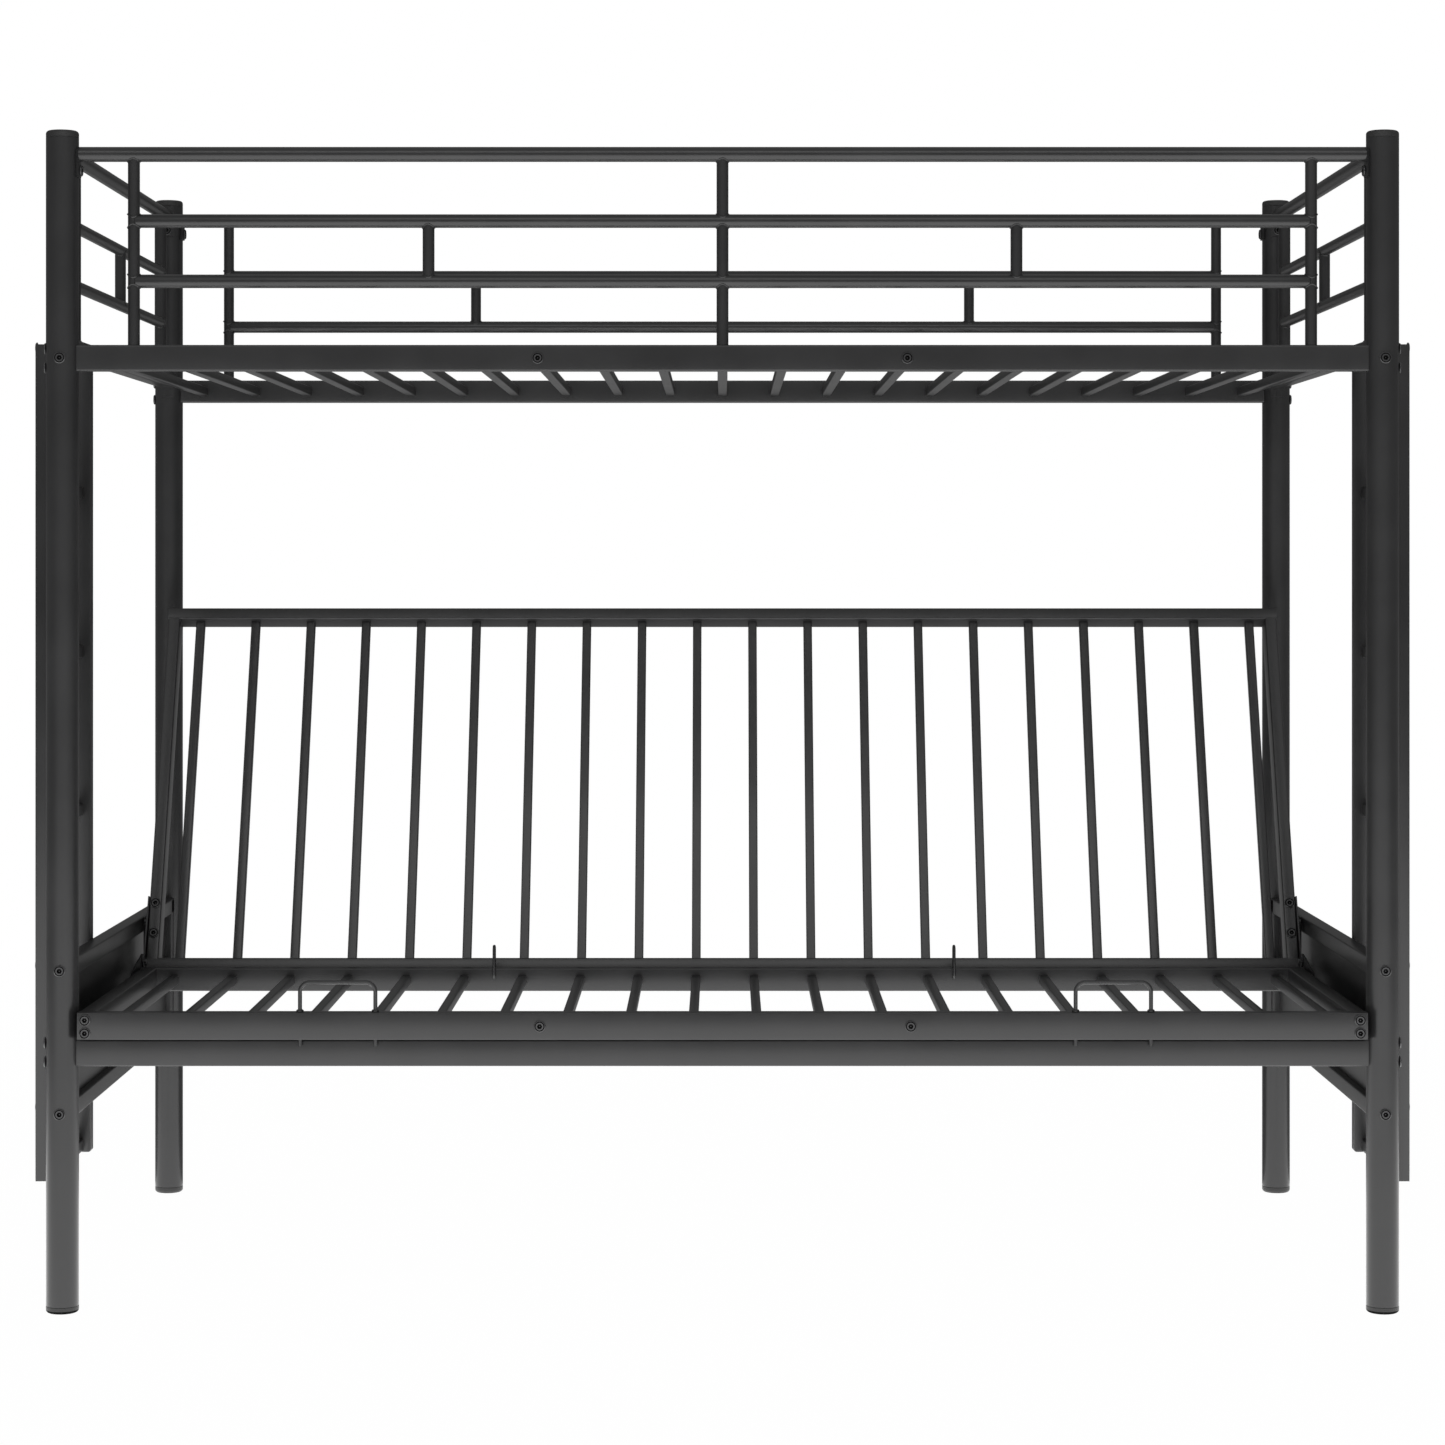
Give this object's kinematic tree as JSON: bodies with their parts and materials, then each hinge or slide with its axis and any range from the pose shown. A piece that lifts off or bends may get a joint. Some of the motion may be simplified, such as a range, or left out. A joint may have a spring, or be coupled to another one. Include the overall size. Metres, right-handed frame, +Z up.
{
  "type": "bunk bed",
  "caption": "Steel bunk bed with a guarded upper deck, a ladder at each end and a lower futon frame whose slatted back reclines as the seat slides forward.",
  "frame": {"origin": "on the floor, at the middle of the bed's overall length and depth", "axes": "+X to the right along the bed as seen from the front, +Y to the rear, +Z up"},
  "size_m": [2.0378, 1.0612, 1.7355],
  "materials": {
    "steel": "satin black",
    "plastic": "matte black",
    "fasteners": "satin black"
  },
  "bodies": {
    "frame": {"post_front_left": "steel", "post_front_right": "steel", "post_rear_left": "steel", "post_rear_right": "steel", "foot_cap_front_left": "plastic", "foot_cap_front_right": "plastic", "foot_cap_rear_left": "plastic", "foot_cap_rear_right": "plastic", "top_cap_front_left": "plastic", "top_cap_front_right": "plastic", "top_cap_rear_left": "plastic", "top_cap_rear_right": "plastic", "upper_deck": "steel", "lower_side_rail_front": "steel", "lower_side_rail_rear": "steel", "guardrail_front": "steel", "guardrail_rear": "steel", "end_guard_left": "steel", "end_guard_right": "steel", "end_panel_left": "steel", "end_panel_right": "steel", "end_panel_sheet_left": "steel", "end_panel_sheet_right": "steel", "ladder_left": "steel", "ladder_right": "steel", "back_stop_left": "steel", "back_stop_right": "steel", "seat_runner_left": "steel", "seat_runner_right": "steel", "deck_bolt_front_left": "fasteners", "deck_bolt_front_right": "fasteners", "deck_bolt_rear_left": "fasteners", "deck_bolt_rear_right": "fasteners"},
    "seat": {"seat_front_rail": "steel", "seat_grid": "steel", "seat_glide_front_left": "plastic", "seat_glide_front_right": "plastic", "seat_glide_rear_left": "plastic", "seat_glide_rear_right": "plastic", "seat_hinge_ear_left": "steel", "seat_hinge_ear_right": "steel", "hinge_pin_left": "fasteners", "hinge_pin_right": "fasteners", "mattress_stop_left": "steel", "mattress_stop_right": "steel", "pull_ring_left": "steel", "pull_ring_right": "steel", "seat_middle_bolt_left": "fasteners", "seat_middle_bolt_right": "fasteners", "seat_screw_left_upper": "fasteners", "seat_screw_left_lower": "fasteners", "seat_screw_right_upper": "fasteners", "seat_screw_right_lower": "fasteners"},
    "back": {"back_grid": "steel", "back_hinge_plate_left": "steel", "back_hinge_plate_right": "steel", "back_bolt_left_lower": "fasteners", "back_bolt_left_upper": "fasteners", "back_bolt_right_lower": "fasteners", "back_bolt_right_upper": "fasteners"}
  },
  "joints": [
    {"name": "seat_slide", "type": "slide", "parent": "frame", "child": "seat", "axis": [0, -1, 0], "range_m": [0, 0.19]},
    {"name": "back_recline", "type": "hinge", "parent": "seat", "child": "back", "pos_m": [0, 0.077, 0.451], "axis": [-1, 0, 0], "range_deg": [0, 67]}
  ],
  "couplings": [
    {"joint": "back_recline", "follows": "seat_slide", "rad_per_m": 6.15}
  ]
}
